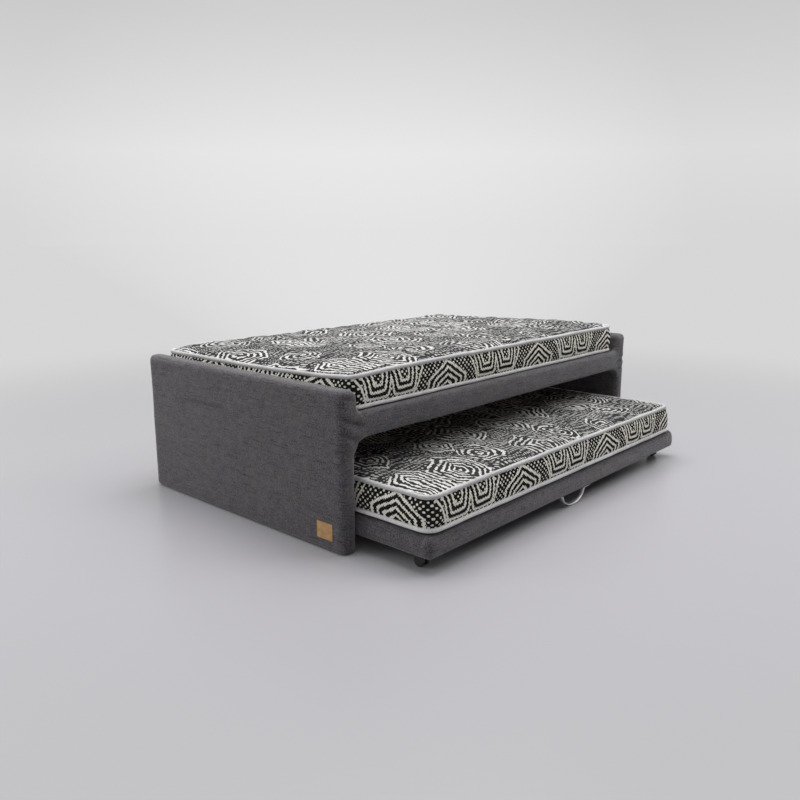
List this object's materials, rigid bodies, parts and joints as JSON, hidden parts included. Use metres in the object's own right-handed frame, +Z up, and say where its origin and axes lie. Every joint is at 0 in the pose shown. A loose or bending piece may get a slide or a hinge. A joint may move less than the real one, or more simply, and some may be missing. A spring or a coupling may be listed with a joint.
{
  "type": "trundle bed",
  "caption": "Low upholstered bed between padded end panels, with a padded pull-out bed on castors beneath it; both carry piped mattresses in a black and cream patterned fabric.",
  "frame": {"origin": "on the floor, at the middle of the whole object's footprint as modelled, with the trundle partly pulled out", "axes": "+X along the bed to the right as seen from the front, +Y from the front to the back, +Z up; the trundle is pulled out towards -Y"},
  "size_m": [2.0706, 1.548, 0.649],
  "materials": {
    "upholstery": "nubby grey tweed cloth over foam",
    "panel_board": "raw board",
    "timber": "planed pine, unfinished",
    "glide_plastic": "matte black",
    "tag_leather": "tan leather-look, bare",
    "screw_steel": "zinc plated",
    "foam": "open-cell foam",
    "mattress_fabric": "quilted black and cream geometric weave",
    "piping": "light grey covered cord",
    "dust_cloth": "black non-woven",
    "castor_plastic": "moulded black",
    "wheel_plastic": "moulded black",
    "handle_metal": "bright strap"
  },
  "bodies": {
    "bed": {"left_panel_cover": "upholstery", "left_panel_boards": "panel_board", "left_panel_frame": "timber", "right_panel_cover": "upholstery", "right_panel_boards": "panel_board", "right_panel_frame": "timber", "panel_glides": "glide_plastic", "name_tag": "tag_leather", "front_rail_cover": "upholstery", "front_rail_core": "timber", "back_rail_cover": "upholstery", "back_rail_core": "timber", "corner_gussets": "upholstery", "slat_bearers": "timber", "deck_slats": "timber", "slat_screws": "screw_steel", "centre_beam": "timber", "beam_hangers": "screw_steel", "back_stretcher": "timber", "stretcher_cleats": "timber", "rail_brackets": "screw_steel", "bracket_screws": "screw_steel", "upper_mattress_core": "foam", "upper_mattress_border": "mattress_fabric", "upper_mattress_top_panel": "mattress_fabric", "upper_mattress_bottom_panel": "mattress_fabric", "upper_mattress_piping": "piping"},
    "trundle": {"lower_mattress_core": "foam", "lower_mattress_border": "mattress_fabric", "lower_mattress_top_panel": "mattress_fabric", "lower_mattress_bottom_panel": "mattress_fabric", "lower_mattress_piping": "piping", "trundle_cover": "upholstery", "trundle_deck": "panel_board", "trundle_long_rails": "timber", "trundle_end_rails": "timber", "trundle_cross_rails": "timber", "dust_cloth": "dust_cloth", "castor_bodies": "castor_plastic", "castor_screws": "screw_steel", "pull_handle": "handle_metal", "handle_screws": "screw_steel"},
    "wheel_front_left": {"castor_wheels_front_left": "wheel_plastic", "castor_axle_front_left": "screw_steel"},
    "wheel_front_right": {"castor_wheels_front_right": "wheel_plastic", "castor_axle_front_right": "screw_steel"},
    "wheel_back_left": {"castor_wheels_back_left": "wheel_plastic", "castor_axle_back_left": "screw_steel"},
    "wheel_back_right": {"castor_wheels_back_right": "wheel_plastic", "castor_axle_back_right": "screw_steel"}
  },
  "joints": [
    {"name": "trundle_slide", "type": "slide", "parent": "bed", "child": "trundle", "axis": [0, -1, 0], "range_m": [-0.328, 0.822]},
    {"name": "castor_roll_front_left", "type": "hinge", "parent": "trundle", "child": "wheel_front_left", "pos_m": [-0.903, -0.69, 0.021], "axis": [1, 0, 0], "continuous": true},
    {"name": "castor_roll_front_right", "type": "hinge", "parent": "trundle", "child": "wheel_front_right", "pos_m": [0.903, -0.69, 0.021], "axis": [1, 0, 0], "continuous": true},
    {"name": "castor_roll_back_left", "type": "hinge", "parent": "trundle", "child": "wheel_back_left", "pos_m": [-0.903, 0.292, 0.021], "axis": [1, 0, 0], "continuous": true},
    {"name": "castor_roll_back_right", "type": "hinge", "parent": "trundle", "child": "wheel_back_right", "pos_m": [0.903, 0.292, 0.021], "axis": [1, 0, 0], "continuous": true}
  ]
}
